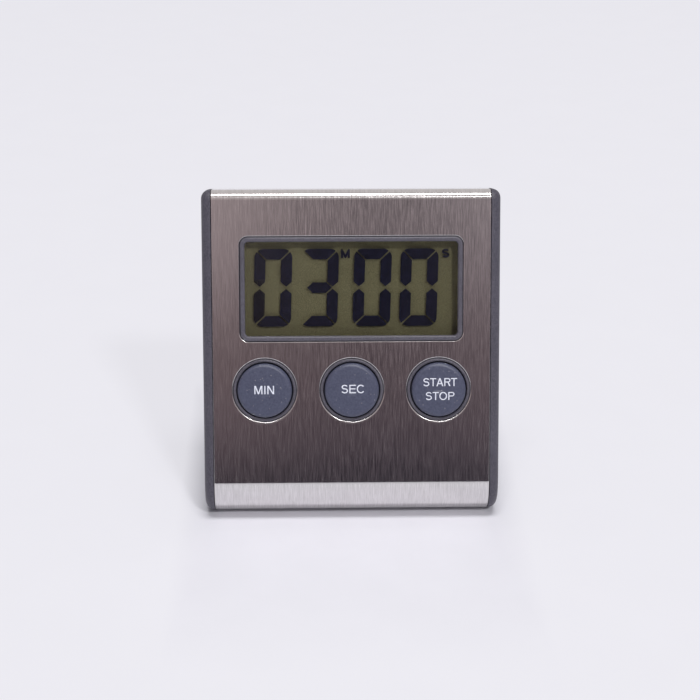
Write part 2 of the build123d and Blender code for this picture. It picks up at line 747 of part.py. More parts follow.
# Buttons: a crowned cap on a retaining flange, hollow behind, with a stem on the dome.
# Each has a carbon pill under its dome, which closes the contact on the board.
for prefix, (button_x, button_u) in zip(("minutes", "seconds", "start_stop"), button_centres):
    axis_plane = Plane(origin=at_face(button_x, button_u, 0), x_dir=(1, 0, 0), z_dir=-face.y_dir)
    with BuildPart() as button:
        with BuildSketch(axis_plane) as button_profile:
            with BuildLine():
                crown = TangentArc(
                    (0, CAP_CROWN), (CAP_RADIUS, CAP_CROWN - CAP_DOME), tangent=(1, 0)
                )
                Polyline(
                    crown @ 1,
                    (CAP_RADIUS, -CAP_FLANGE_DEPTH),
                    (CAP_FLANGE_RADIUS, -CAP_FLANGE_DEPTH),
                    (CAP_FLANGE_RADIUS, -CAP_FLANGE_DEPTH - CAP_FLANGE_THICK),
                    (CAP_HOLLOW_RADIUS, -CAP_FLANGE_DEPTH - CAP_FLANGE_THICK),
                    (CAP_HOLLOW_RADIUS, -CAP_ROOF_DEPTH),
                    (STEM_RADIUS, -CAP_ROOF_DEPTH),
                    (STEM_RADIUS, -dome_top),
                    (0, -dome_top),
                    crown @ 0,
                )
            make_face()
            rim = button_profile.vertices().sort_by_distance((CAP_RADIUS, CAP_CROWN))[0]
            fillet(rim, radius=CAP_ROUND)
        revolve(axis=Axis(axis_plane.origin, axis_plane.y_dir))
    button.part.label = f"{prefix}_button"
    export_step(button.part, f"parts/{prefix}_button.step")

    with BuildPart() as pill:
        with BuildSketch(below_face(pill_top)):
            with Locations((button_x, button_u)):
                Circle(PILL_RADIUS)
        extrude(amount=-PILL_THICK)
    pill.part.label = f"{prefix}_contact"
    export_step(pill.part, f"parts/{prefix}_contact.step")

# Piezo buzzer: a brass disc seated on the case's ring, with a ceramic disc on its front
seat_y = wall_y - BOSS_DEEP
with BuildPart() as buzzer_plate:
    with BuildSketch(looking_forward(seat_y)):
        with Locations((0, BUZZER_Z)):
            Circle(BUZZER_RADIUS)
    extrude(amount=BUZZER_PLATE_THICK)
buzzer_plate.part.label = "buzzer_plate"
export_step(buzzer_plate.part, "parts/buzzer_plate.step")

plate_y = seat_y - BUZZER_PLATE_THICK
with BuildPart() as buzzer_ceramic:
    with BuildSketch(looking_forward(plate_y)):
        with Locations((0, BUZZER_Z)):
            Circle(CERAMIC_RADIUS)
    extrude(amount=CERAMIC_THICK)
buzzer_ceramic.part.label = "buzzer_ceramic"
export_step(buzzer_ceramic.part, "parts/buzzer_ceramic.step")


def board_end(x, u):
    """Last two points of a wire that meets the rear of the board squarely."""
    return [at_face(x, u, board_back + WIRE_STRAIGHT), at_face(x, u, board_back)]


def add_wire(points):
    """Sweep a round insulated wire along straight runs joined by tangent arcs."""
    with BuildLine() as route:
        FilletPolyline(*points, radius=WIRE_BEND)
    with BuildSketch(Plane(origin=route.line @ 0, z_dir=route.line % 0)) as section:
        Circle(WIRE_RADIUS)
    sweep(section.sketch, path=route.line)


# Buzzer wires: one from the ceramic, one from the bare rim of the brass disc
ceramic_y = plate_y - CERAMIC_THICK
with BuildPart() as buzzer_leads:
    for wire_x, wire_y in ((CERAMIC_WIRE_X, ceramic_y), (RIM_WIRE_X, plate_y)):
        add_wire(
            [
                Vector(wire_x, wire_y, BUZZER_Z),
                Vector(wire_x, wire_y - WIRE_STRAIGHT, BUZZER_Z),
                *board_end(wire_x, BUZZER_WIRE_UP),
            ]
        )
buzzer_leads.part.label = "buzzer_leads"
export_step(buzzer_leads.part, "parts/buzzer_leads.step")

# Battery cell, lying across the case with its nub towards +X
with BuildPart() as battery_cell:
    with BuildSketch(Plane.YZ.offset(-CELL_LENGTH / 2)):
        with Locations((CELL_Y, CELL_Z)):
            Circle(CELL_RADIUS)
    extrude(amount=CELL_LENGTH - NUB_LENGTH)
    fillet(battery_cell.edges().filter_by(GeomType.CIRCLE), radius=CELL_ROUND)
    with BuildSketch(Plane.YZ):
        with Locations((CELL_Y, CELL_Z)):
            Circle(NUB_RADIUS)
    extrude(amount=CELL_LENGTH / 2)
battery_cell.part.label = "battery_cell"
export_step(battery_cell.part, "parts/battery_cell.step")

# Battery contacts: a folded leaf at each end, whose tail passes through the box's front wall.
# A wire runs from each tail to the lower end of the board.
for prefix, side in (("positive", 1), ("negative", -1)):
    apex_x = CELL_LENGTH / 2 + LEAF_REACH
    with BuildPart() as contact:
        with BuildSketch(Plane.XY.offset(CELL_Z - STRIP_TALL / 2)):
            with BuildLine():
                FilletPolyline(
                    (side * slot_x, TAIL_Y),
                    (side * slot_x, FOLD_Y),
                    (side * apex_x, CELL_Y),
                    (side * (apex_x + LEAF_TIP_BACK), LEAF_TIP_Y),
                    radius=STRIP_BEND,
                )
            trace(line_width=STRIP_THICK)
        extrude(amount=STRIP_TALL)
    contact.part.label = f"{prefix}_contact"
    export_step(contact.part, f"parts/{prefix}_contact.step")

    with BuildPart() as lead:
        add_wire(
            [
                Vector(side * (slot_x - STRIP_THICK / 2), TAIL_WIRE_Y, CELL_Z),
                Vector(side * TAIL_WIRE_X, TAIL_WIRE_Y, CELL_Z),
                *board_end(side * TAIL_WIRE_X, TAIL_WIRE_UP),
            ]
        )
    lead.part.label = f"{prefix}_lead"
    export_step(lead.part, f"parts/{prefix}_lead.step")

# Round magnets, flush in the back, that hold the timer to a steel door
for magnet_name, magnet_x in (("left_magnet", -MAGNET_X), ("right_magnet", MAGNET_X)):
    with BuildPart() as magnet:
        with BuildSketch(looking_forward(back_y)):
            with Locations((magnet_x, MAGNET_Z)):
                Circle(MAGNET_RADIUS)
        extrude(amount=MAGNET_THICK)
    magnet.part.label = magnet_name
    export_step(magnet.part, f"parts/{magnet_name}.step")

# Case screws: sunk in the back, driven into the frame's posts
seat = screw_centre.offset(-SINK_DEEP)
with BuildPart() as case_screws:
    with BuildSketch(seat):
        with GridLocations(2 * SCREW_X, 2 * SCREW_RISE, 2, 2):
            Circle(HEAD_RADIUS)
    extrude(amount=HEAD_TALL)
    with BuildSketch(seat):
        with GridLocations(2 * SCREW_X, 2 * SCREW_RISE, 2, 2):
            Circle(SHANK_RADIUS)
    extrude(amount=-SHANK_LENGTH)
    with BuildSketch(seat.offset(HEAD_TALL)):
        with GridLocations(2 * SCREW_X, 2 * SCREW_RISE, 2, 2):
            Rectangle(CROSS_SPAN, CROSS_WIDTH)
            Rectangle(CROSS_WIDTH, CROSS_SPAN)
    extrude(amount=-CROSS_DEEP, mode=Mode.SUBTRACT)
case_screws.part.label = "case_screws"
export_step(case_screws.part, "parts/case_screws.step")

# Board screws: clamp the board against the frame's four short posts
with BuildPart() as board_screws:
    with BuildSketch(below_face(board_back)):
        with Locations(*board_post_centres):
            Circle(BOARD_HEAD_RADIUS)
    extrude(amount=-BOARD_HEAD_TALL)
    with BuildSketch(below_face(board_back)):
        with Locations(*board_post_centres):
            Circle(BOARD_SHANK_RADIUS)
    extrude(amount=BOARD_SHANK_LENGTH)
    with BuildSketch(below_face(board_back + BOARD_HEAD_TALL)):
        with Locations(*board_post_centres):
            Rectangle(CROSS_SPAN, CROSS_WIDTH)
            Rectangle(CROSS_WIDTH, CROSS_SPAN)
    extrude(amount=CROSS_DEEP, mode=Mode.SUBTRACT)
board_screws.part.label = "board_screws"
export_step(board_screws.part, "parts/board_screws.step")

# Rubber feet, pressed into shallow recesses in the floor
for foot_name, foot_y in zip(("front_foot", "rear_foot"), FOOT_YS):
    with BuildPart() as foot:
        with BuildSketch(Plane.XY):
            with Locations((0, foot_y)):
                SlotOverall(FOOT_LENGTH, FOOT_WIDTH)
        extrude(amount=FOOT_STANDOFF + FOOT_RECESS)
    foot.part.label = foot_name
    export_step(foot.part, f"parts/{foot_name}.step")
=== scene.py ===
import json
import math

import bmesh
import bpy
import numpy as np
from mathutils import Matrix, Vector


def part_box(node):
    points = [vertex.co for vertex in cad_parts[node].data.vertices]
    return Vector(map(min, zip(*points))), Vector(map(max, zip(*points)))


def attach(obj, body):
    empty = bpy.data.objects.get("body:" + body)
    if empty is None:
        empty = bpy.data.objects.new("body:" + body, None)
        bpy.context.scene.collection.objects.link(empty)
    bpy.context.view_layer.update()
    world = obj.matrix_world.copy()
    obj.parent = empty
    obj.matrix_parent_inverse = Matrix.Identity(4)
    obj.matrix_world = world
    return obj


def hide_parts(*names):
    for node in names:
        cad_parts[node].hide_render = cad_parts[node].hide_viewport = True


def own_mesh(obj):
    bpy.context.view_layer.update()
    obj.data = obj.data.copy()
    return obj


# A digital kitchen timer: brushed steel face, slate plastic case, olive display, three keys.
# Metres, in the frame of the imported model. X runs across the face, Y to the back, Z up.
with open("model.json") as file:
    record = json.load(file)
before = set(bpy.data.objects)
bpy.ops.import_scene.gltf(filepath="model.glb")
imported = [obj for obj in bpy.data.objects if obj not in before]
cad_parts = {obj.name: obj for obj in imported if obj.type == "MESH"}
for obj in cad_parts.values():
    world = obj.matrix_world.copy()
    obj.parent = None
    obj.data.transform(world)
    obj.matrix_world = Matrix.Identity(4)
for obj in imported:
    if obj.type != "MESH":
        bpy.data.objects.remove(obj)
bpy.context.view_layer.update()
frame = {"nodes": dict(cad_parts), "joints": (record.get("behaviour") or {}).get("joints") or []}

# Steel face. One sheet of stainless steel, brushed from top to bottom before it was bent over
# the brow and under the toe. It is glued to the plastic frame behind it.
# The keys are pressed straight into the face, so their joint gives the way it faces.
press = next(j for j in frame["joints"] if j["name"] == "minutes_press")
outward = -Vector(press["axis"])
upward = Vector((0, outward.z, -outward.y))
lean = math.asin(outward.z)


def new_finish(name):
    """Start a node material. Returns it with its tree and its main shader."""
    material = bpy.data.materials.new(name)
    material.use_nodes = True
    tree = material.node_tree
    return material, tree, tree.nodes["Principled BSDF"]


def add_node(tree, kind, inputs, **settings):
    """Add a shader node. An input that is a socket is linked, and any other is set."""
    made = tree.nodes.new(kind)
    for name, value in settings.items():
        setattr(made, name, value)
    for key, value in inputs.items():
        if isinstance(value, bpy.types.NodeSocket):
            tree.links.new(value, made.inputs[key])
        else:
            made.inputs[key].default_value = value
    return made


def screen(red, green, blue):
    """Linear colour, with full alpha, of a colour as a screen shows it, from 0 to 255."""
    values = np.array((red, green, blue)) / 255
    linear = np.where(values < 0.04045, values / 12.92, ((values + 0.055) / 1.055) ** 2.4)
    return (*linear.tolist(), 1.0)


def object_place(tree, turn=(0, 0, 0), stretch=(1, 1, 1)):
    """Socket with a point's place on the object, turned and then stretched along each axis."""
    place = add_node(tree, "ShaderNodeTexCoord", {}).outputs["Object"]
    turned = add_node(tree, "ShaderNodeMapping", {"Vector": place, "Rotation": turn})
    scaled = add_node(
        tree, "ShaderNodeVectorMath", {0: turned.outputs[0], 1: stretch}, operation="MULTIPLY"
    )
    return scaled.outputs[0]


def grain(tree, place, scale, detail=2.0, crisp=0.5):
    """Socket with soft random grain between 0 and 1, scale times as fine as the place given.

    Each of its finer layers is crisp times as strong as the layer before.
    """
    noise = add_node(
        tree,
        "ShaderNodeTexNoise",
        {"Vector": place, "Scale": scale, "Detail": detail, "Roughness": crisp},
    )
    return noise.outputs[0]


def shades(tree, factor, *stops):
    """Socket with a colour that runs through stops of (position, colour)."""
    ramp = add_node(tree, "ShaderNodeValToRGB", {"Fac": factor})
    while len(ramp.color_ramp.elements) < len(stops):
        ramp.color_ramp.elements.new(1.0)
    for element, (position, colour) in zip(ramp.color_ramp.elements, stops):
        element.position = position
        element.color = colour
    return ramp.outputs["Color"]


GRAIN_LOW, GRAIN_HIGH = 0.3, 0.7  # soft grain seldom leaves this range


def tones(tree, factor, dark, light):
    """Socket with a colour that runs from dark to light over the range of soft grain."""
    return shades(tree, factor, (GRAIN_LOW, dark), (GRAIN_HIGH, light))


def spread(tree, factor, low, high, start=GRAIN_LOW, stop=GRAIN_HIGH):
    """Socket with a number that runs from low to high as the factor goes from start to stop."""
    ranged = add_node(
        tree,
        "ShaderNodeMapRange",
        {"Value": factor, "From Min": start, "From Max": stop, "To Min": low, "To Max": high},
    )
    return ranged.outputs[0]


def reckon(tree, operation, *values):
    """Socket with the result of one of the Math node's operations on numbers or sockets."""
    inputs = dict(enumerate(values))
    return add_node(tree, "ShaderNodeMath", inputs, operation=operation).outputs[0]


def along_axis(tree, place, axis):
    """Socket with a place's measure along one axis."""
    return add_node(tree, "ShaderNodeSeparateXYZ", {0: place}).outputs[axis]


def blend(tree, factor, first, second):
    """Socket with a number that goes from the first to the second as the factor goes to 1."""
    return add_node(tree, "ShaderNodeMix", {"Factor": factor, 2: first, 3: second}).outputs[0]


def emboss(tree, shader, height, distance):
    """Give a shader a bumpy surface whose full height is a distance in metres."""
    bump = add_node(tree, "ShaderNodeBump", {"Height": height, "Distance": distance})
    tree.links.new(bump.outputs[0], shader.inputs["Normal"])


def paint(shader, **inputs):
    """Set or link a shader's inputs, named with underscores for spaces."""
    tree = shader.id_data
    for name, value in inputs.items():
        socket = shader.inputs[name.replace("_", " ")]
        if isinstance(value, bpy.types.NodeSocket):
            tree.links.new(value, socket)
        else:
            socket.default_value = value


def dress(material, *names):
    """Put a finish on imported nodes, whose shapes stay as they are."""
    for name in names:
        frame["nodes"][name].material_slots[0].material = material


STREAK_ACROSS = 5200.0  # grain per metre across the brush lines
STREAK_ALONG = 250.0  # and along them
STREAK_DEEP = 0.000003
KEYS = ("minutes", "seconds", "start_stop")  # from left to right
RIM_INSIDE = 0.0075  # radius of the openings punched for the keys
RIM_OUTSIDE = 0.0078  # and of their rolled edges, which are duller than the brushed face
RIM_ROUGH = 0.27
steel, tree, shader = new_finish("brushed_steel")
brushed = object_place(
    tree, turn=(lean, 0, 0), stretch=(STREAK_ACROSS, STREAK_ALONG, STREAK_ALONG)
)
streaks = grain(tree, brushed, 1.0, detail=5.0, crisp=0.68)
on_face = object_place(tree, turn=(lean, 0, 0), stretch=(1, 0, 1))
from_key = RIM_OUTSIDE
for key in KEYS:
    middle = sum((Vector(corner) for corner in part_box(f"{key}_button")), Vector()) / 2
    away = add_node(
        tree,
        "ShaderNodeVectorMath",
        {0: on_face, 1: (middle.x, 0, middle.dot(upward))},
        operation="DISTANCE",
    ).outputs["Value"]
    from_key = reckon(tree, "MINIMUM", from_key, away)
rolled_edge = spread(tree, from_key, 1, 0, (RIM_INSIDE + RIM_OUTSIDE) / 2, RIM_OUTSIDE)
paint(
    shader,
    Base_Color=tones(tree, streaks, screen(199, 196, 196), screen(234, 231, 231)),
    Metallic=1.0,
    Roughness=blend(tree, rolled_edge, spread(tree, streaks, 0.105, 0.21), RIM_ROUGH),
    Anisotropic=0.75,
    Anisotropic_Rotation=0.25,
    Tangent=add_node(
        tree, "ShaderNodeTangent", {}, direction_type="RADIAL", axis="X"
    ).outputs[0],
)
emboss(tree, shader, streaks, STREAK_DEEP)
dress(steel, "front_plate")

# Plastic frame. A grey moulding behind the steel: its lip round the display and its three
# button collars come through the steel's openings. Its surface has a fine spark-eroded grain.
SPARK_GRAIN = 3600.0  # grain per metre of the moulds' textured surfaces
CLOUD_GRAIN = 160.0  # and of slow changes of tone
CLOUD_SHARE = 0.15  # part that those have in the plastic's colour
GLOSS_VARIES = 0.06  # change of a moulding's roughness to each side


def textured_plastic(name, dark, light, roughness, depth):
    """Moulded plastic with the mould's fine grain and a faint cloudiness in its colour."""
    material, tree, shader = new_finish(name)
    place = object_place(tree)
    sparks = grain(tree, place, SPARK_GRAIN, detail=3.0)
    mottle = blend(tree, CLOUD_SHARE, sparks, grain(tree, place, CLOUD_GRAIN))
    paint(
        shader,
        Base_Color=shades(tree, mottle, (0.33, dark), (0.67, light)),
        Roughness=spread(tree, sparks, roughness - GLOSS_VARIES, roughness + GLOSS_VARIES),
        Specular_IOR_Level=0.45,
    )
    emboss(tree, shader, sparks, depth)
    return material


frame_grey = textured_plastic(
    "frame_plastic", screen(74, 72, 81), screen(104, 101, 112), 0.34, 0.00003
)
dress(frame_grey, "front_frame")

# Rear case and battery door. Slate grey mouldings with the same grain. The case is one piece
# with both cheeks, and four screws pull it onto the frame's posts. The door turns on moulded pins.
case_grey = textured_plastic(
    "case_plastic", screen(61, 59, 69), screen(95, 92, 104), 0.48, 0.00005
)
dress(case_grey, "rear_case", "battery_door")

# Display window. A lens moulded in clear plastic, which snaps into the frame from behind the lip
# and covers the display. Wiping leaves faint smears in its gloss.
CLEAR_TINT = (0.99, 0.992, 0.985, 1.0)
CLEAR_CROSSINGS = 16  # clear faces that light meets on its way to the reflector and out again
SMEAR_GRAIN = 90.0
LENS_MIRROR = 0.032


def clear_sheet(name, mirror):
    """Clear sheet. Light passes straight through, less the share that its surface mirrors.

    That share grows from the value given, met squarely, to all of it at grazing angles, with
    the fifth power of how far the surface turns away.
    """
    material, tree, shader = new_finish(name)
    tree.nodes.remove(shader)
    smears = grain(tree, object_place(tree), SMEAR_GRAIN, detail=4.0)
    through = add_node(tree, "ShaderNodeBsdfTransparent", {"Color": CLEAR_TINT}).outputs[0]
    polish = spread(tree, smears, 0.02, 0.12)
    gloss = add_node(tree, "ShaderNodeBsdfGlossy", {"Roughness": polish}).outputs[0]
    away = add_node(tree, "ShaderNodeLayerWeight", {"Blend": 0.5}).outputs["Facing"]
    share = reckon(tree, "MULTIPLY_ADD", reckon(tree, "POWER", away, 5.0), 1 - mirror, mirror)
    mixed = add_node(tree, "ShaderNodeMixShader", {0: share, 1: through, 2: gloss})
    tree.links.new(mixed.outputs[0], tree.nodes["Material Output"].inputs["Surface"])
    return material


bpy.context.scene.cycles.transparent_max_bounces = CLEAR_CROSSINGS
dress(clear_sheet("clear_lens", LENS_MIRROR), "display_window")

# Display cell. Two thin glass plates with the dark bars between them, centred by a white ring. An
# olive reflector film on the back sends the light out again, so its fine metal flakes show as
# speckle. The plates mirror nothing unless they are met at a grazing angle.
FLAKE_GRAIN = 4200.0
dress(clear_sheet("display_glass", 0.0), "lcd_front_glass", "lcd_rear_glass")
ink, tree, shader = new_finish("display_ink")
clouds = grain(tree, object_place(tree), 700.0)
paint(
    shader,
    Base_Color=tones(tree, clouds, screen(16, 17, 38), screen(22, 23, 46)),
    Roughness=0.5,
    Specular_IOR_Level=0.1,
)
dress(ink, "lcd_segments")

olive, tree, shader = new_finish("display_reflector")
flakes = grain(tree, object_place(tree), FLAKE_GRAIN, detail=4.0)
paint(
    shader,
    Base_Color=tones(tree, flakes, screen(121, 114, 85), screen(178, 171, 135)),
    Roughness=0.6,
    Specular_IOR_Level=0.2,
)
dress(olive, "lcd_reflector")

holder_white = textured_plastic(
    "holder_plastic", screen(216, 216, 210), screen(228, 228, 222), 0.5, 0.00001
)
dress(holder_white, "lcd_holder")

# Striped connector strips. Rubber with thin conducting layers across its length, pressed
# between the glass's ledge and the board.
STRIPE_PITCH = 0.0004
zebra, tree, shader = new_finish("striped_silicone")
across = along_axis(tree, object_place(tree, stretch=(math.tau / STRIPE_PITCH,) * 3), "X")
stripe = reckon(tree, "SINE", across)
paint(
    shader,
    Base_Color=shades(tree, stripe, (0.1, screen(158, 140, 146)), (0.3, screen(30, 30, 33))),
    Roughness=0.7,
)
dress(zebra, "upper_zebra_strip", "lower_zebra_strip")

# Circuit board. Green lacquered laminate with its copper tracks showing through as paler lines.
# The chip sits under a drop of black resin, beside a clock crystal and small ceramic parts.
TRACK_ROWS = 420.0  # tracks per metre
TRACK_HALF = (0.08, 0.12)  # a track's half-width and where its edge ends, as shares of a row
laminate, tree, shader = new_finish("circuit_laminate")
place = object_place(tree, turn=(lean, 0, 0), stretch=(TRACK_ROWS, 0, TRACK_ROWS))
tracks = add_node(
    tree,
    "ShaderNodeTexVoronoi",
    {"Vector": place, "Scale": 1.0, "Randomness": 0.55},
    feature="DISTANCE_TO_EDGE",
).outputs["Distance"]
paint(
    shader,
    Base_Color=shades(
        tree, tracks, *zip(TRACK_HALF, (screen(64, 132, 84), screen(34, 96, 58)))
    ),
    Roughness=0.35,
)
emboss(tree, shader, tracks, 0.00002)
dress(laminate, "circuit_board")

resin, tree, shader = new_finish("chip_epoxy")
ripples = grain(tree, object_place(tree), 900.0)
paint(
    shader,
    Base_Color=tones(tree, ripples, screen(22, 22, 24), screen(30, 30, 32)),
    Roughness=spread(tree, ripples, 0.15, 0.3),
)
emboss(tree, shader, ripples, 0.00003)
dress(resin, "chip_cover")

METAL_VARIES = 0.08  # change of a metal's roughness to each side


def drawn_metal(name, dark, light, roughness, scale):
    """Plated or drawn metal with fine cloudy marks in its colour and its gloss."""
    material, tree, shader = new_finish(name)
    marks = grain(tree, object_place(tree), scale, detail=5.0)
    paint(
        shader,
        Base_Color=tones(tree, marks, dark, light),
        Metallic=1.0,
        Roughness=spread(tree, marks, roughness - METAL_VARIES, roughness + METAL_VARIES),
    )
    emboss(tree, shader, marks, 0.000003)
    return material


crystal = drawn_metal("crystal_can", screen(205, 205, 207), screen(230, 230, 232), 0.25, 2400.0)
dress(crystal, "timing_crystal")

CAP_PITCH = 0.004  # the small parts stand on a grid this wide
CAP_BODY = 0.3  # half-length of a part's ceramic body, as a share of that grid
chips, tree, shader = new_finish("component_ceramic")
column = along_axis(tree, object_place(tree, stretch=(1 / CAP_PITCH,) * 3), "X")
from_centre = reckon(tree, "PINGPONG", column, 0.5)
paint(
    shader,
    Base_Color=shades(
        tree,
        from_centre,
        (CAP_BODY - 0.01, screen(160, 136, 108)),
        (CAP_BODY + 0.01, screen(205, 205, 208)),
    ),
    Roughness=spread(tree, grain(tree, object_place(tree), 3000.0), 0.3, 0.5),
)
dress(chips, "board_components")

# Keypad. One silicone mat lies on the board. Under each key it has a hollow dome that pushes the
# key out again and folds when it is pressed, with a carbon pill inside that meets the board.
MAT_THICK = 0.0008
DOME_FOOT = 0.0042  # outer radius where a dome stands on the board
DOME_HEAD = 0.0026  # and round its roof
DOME_WALL = 0.0008
DOME_ROOF = 0.0006
SIDE_POINTS = 16  # points along one side of the mat round a dome
ROUND_POINTS = 4 * SIDE_POINTS
WELD = 0.000001  # points closer than this are joined
PORE_GRAIN = 6000.0
RUBBER_VARIES = 0.08  # change of a rubber's roughness to each side
face_axes = np.array((Vector((1, 0, 0)), upward, outward))


def soft_rubber(name, dark, light, roughness):
    """Moulded rubber: even, dull and very finely grained."""
    material, tree, shader = new_finish(name)
    pores = grain(tree, object_place(tree), PORE_GRAIN, detail=3.0)
    paint(
        shader,
        Base_Color=tones(tree, pores, dark, light),
        Roughness=spread(tree, pores, roughness - RUBBER_VARIES, roughness + RUBBER_VARIES),
        Specular_IOR_Level=0.3,
    )
    emboss(tree, shader, pores, 0.00001)
    return material


def box_on_face(name):
    """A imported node's lowest and highest corners, measured across, up and out of the face."""
    mesh = frame["nodes"][name].data
    points = np.zeros(3 * len(mesh.vertices), np.float32)
    mesh.vertices.foreach_get("co", points)
    measured = points.reshape(-1, 3) @ face_axes.T
    return measured.min(0), measured.max(0)


def new_piece(name, points, faces, material):
    """Make an object from points and faces, with one finish."""
    mesh = bpy.data.meshes.new(name)
    mesh.from_pydata(points.tolist(), [], faces)
    mesh.materials.append(material)
    piece = bpy.data.objects.new(name, mesh)
    bpy.context.scene.collection.objects.link(piece)
    return piece


def turned(profile, spokes):
    """Circles of a turned surface: each (radius, height) of the profile carried round a turn."""
    radius, height = np.array(profile).T[:, :, None]
    angle = np.linspace(0, math.tau, spokes, endpoint=False)
    return np.stack((radius * np.cos(angle), radius * np.sin(angle), height + 0 * angle), -1)


def bands(circles, joined=False):
    """Four-sided faces between neighbouring circles, also from last to first where joined."""
    index = np.arange(circles[..., 0].size).reshape(circles.shape[:2])
    if joined:
        index = np.vstack((index, index[:1]))
    after = np.roll(index, -1, axis=1)
    return np.stack((index[:-1], index[1:], after[1:], after[:-1]), -1)


def mat_circles(centre, left, right):
    """Loops of the mat round one dome: hole, outer edge, outer edge below and hole below.

    A square of points is stretched to the outer edge, and divided by each point's distance from
    the middle for the round hole.
    """
    run = np.linspace(-1, 1, SIDE_POINTS, endpoint=False)
    one = np.ones(SIDE_POINTS)
    across, up = np.hstack((run, one, -run, -one)), np.hstack((-one, run, one, -run))
    hole = centre + DOME_FOOT * np.column_stack((across, up)) / np.hypot(across, up)[:, None]
    reach = np.where(across < 0, centre[0] - left, right - centre[0])
    edge = centre + np.column_stack((across * reach, up * (mat_high[1] - mat_low[1]) / 2))
    heights = mat_low[2] + np.array((MAT_THICK, MAT_THICK, 0, 0))
    loops = zip((hole, edge, edge, hole), heights)
    return np.stack([np.insert(loop, 2, height, axis=1) for loop, height in loops])


silicone = soft_rubber("keypad_silicone", screen(166, 166, 170), screen(180, 180, 184), 0.6)
mat_low, mat_high = box_on_face("keypad_mat")
middles = [sum(box_on_face(f"{key}_button")) / 2 for key in KEYS]
middle_xs = [middle[0] for middle in middles]
borders = [mat_low[0], *(np.array(middle_xs[:-1]) + middle_xs[1:]) / 2, mat_high[0]]
points, faces = [], []
for number, middle in enumerate(middles):
    circles = mat_circles(middle[:2], borders[number], borders[number + 1])
    quads = bands(circles, joined=True)
    kept = np.ones(quads.shape[:2], bool)
    # No wall stands between one dome's stretch of the mat and the next.
    if number + 1 < len(middles):
        kept[1, SIDE_POINTS : 2 * SIDE_POINTS] = False
    if number > 0:
        kept[1, 3 * SIDE_POINTS :] = False
    faces += (quads[kept] + sum(len(part) for part in points)).tolist()
    points.append(circles.reshape(-1, 3))
web = new_piece("keypad_web", np.vstack(points) @ face_axes, faces, silicone)
welded = bmesh.new()
welded.from_mesh(web.data)
bmesh.ops.remove_doubles(welded, verts=welded.verts, dist=WELD)
welded.to_mesh(web.data)
welded.free()
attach(web, "case")
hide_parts("keypad_mat")

dome_tall = mat_high[2] - mat_low[2]
for key, middle in zip(KEYS, middles):
    circles = turned(
        [
            (DOME_HEAD, dome_tall),
            (DOME_FOOT, MAT_THICK),
            (DOME_FOOT, 0),
            (DOME_FOOT - DOME_WALL, 0),
            (DOME_HEAD - DOME_WALL, dome_tall - DOME_ROOF),
        ],
        ROUND_POINTS,
    )
    on_board = np.append(middle[:2], mat_low[2])
    spots = circles.reshape(-1, 3) + on_board
    numbers = list(range(len(spots)))
    roof, ceiling = numbers[:ROUND_POINTS], numbers[:-ROUND_POINTS - 1 : -1]
    faces = [roof, ceiling, *bands(circles).reshape(-1, 4).tolist()]
    dome = new_piece(f"{key}_dome", spots @ face_axes, faces, silicone)
    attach(dome, "case")
    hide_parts("keypad_mat")
    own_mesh(dome)

dress(
    soft_rubber("carbon_pill", screen(28, 28, 29), screen(46, 46, 48), 0.75),
    *(f"{key}_contact" for key in KEYS),
)

# Keys. Slate blue plastic caps, satin from the mould, with a little pale dust in the surface. The
# frame's collars guide them, and the domes push them out.
DUST_GRAIN = 900.0
DUST_SIZE = (0.05, 0.1)  # a speck's radius, and where its edge ends, as shares of that grain


def blend_colours(tree, factor, first, second, way="MIX"):
    """Socket with a colour that goes from the first to the second, or joins them another way."""
    inputs = {"Factor": factor, 6: first, 7: second}
    made = add_node(tree, "ShaderNodeMix", inputs, data_type="RGBA", blend_type=way)
    return made.outputs[2]


cap_blue, tree, shader = new_finish("button_plastic")
place = object_place(tree)
satin = grain(tree, place, 2600.0, detail=3.0)
from_speck = add_node(
    tree, "ShaderNodeTexVoronoi", {"Vector": place, "Scale": DUST_GRAIN}
).outputs["Distance"]
blue = tones(tree, satin, screen(61, 65, 87), screen(80, 84, 107))
dust = spread(tree, from_speck, 1, 0, *DUST_SIZE)
paint(
    shader,
    Base_Color=blend_colours(tree, dust, blue, screen(172, 168, 172)),
    Roughness=spread(tree, satin, 0.38, 0.5),
    Specular_IOR_Level=0.65,
)
emboss(tree, shader, satin, 0.000004)
dress(cap_blue, *(f"{key}_button" for key in KEYS))

# Words on the keys. White pad-printed capitals of even stroke, a few hundredths of a millimetre
# above the cap, that follow its crown. Letters are drawn in capital heights, then sized.
STROKE = 0.135  # width of an upright stroke
BAR = 0.125  # and of a level one
BOW_POINTS = 25
INK_THICK = 0.00003
CROWN_FALL = 0.0002  # the crown falls this much from its middle to the cap's side
CROWN_REACH = 0.00642
# Lines on each key, as (word, capital height, place of its middle across and up the cap). The
# print sits a little off the caps' middles.
WORDS = {
    "minutes": [("MIN", 0.0020, (-0.0001, 0.0003))],
    "seconds": [("SEC", 0.0020, (0.0002, 0.0004))],
    "start_stop": [("START", 0.0019, (0.0003, 0.0019)), ("STOP", 0.0019, (0.0003, -0.0014))],
}

label_ink, tree, shader = new_finish("label_ink")
print_grain = grain(tree, object_place(tree), 5000.0)
paint(
    shader,
    Base_Color=tones(tree, print_grain, screen(226, 229, 244), screen(242, 245, 254)),
    Roughness=0.5,
)


def block(left, low, right, high):
    """Corners of an upright rectangle, anticlockwise."""
    return [(left, low), (right, low), (right, high), (left, high)]


def with_mirror(corners, width):
    """A piece of a letter and its mirror image in the letter's middle line."""
    return [corners, [(width - x, y) for x, y in reversed(corners)]]


def bow(centre, across, tall, start, stop):
    """Points of an oval arc: cosine and sine of the angle times its half-width and half-height."""
    turn = np.radians(np.linspace(start, stop, BOW_POINTS))
    return np.column_stack((centre[0] + across * np.cos(turn), centre[1] + tall * np.sin(turn)))


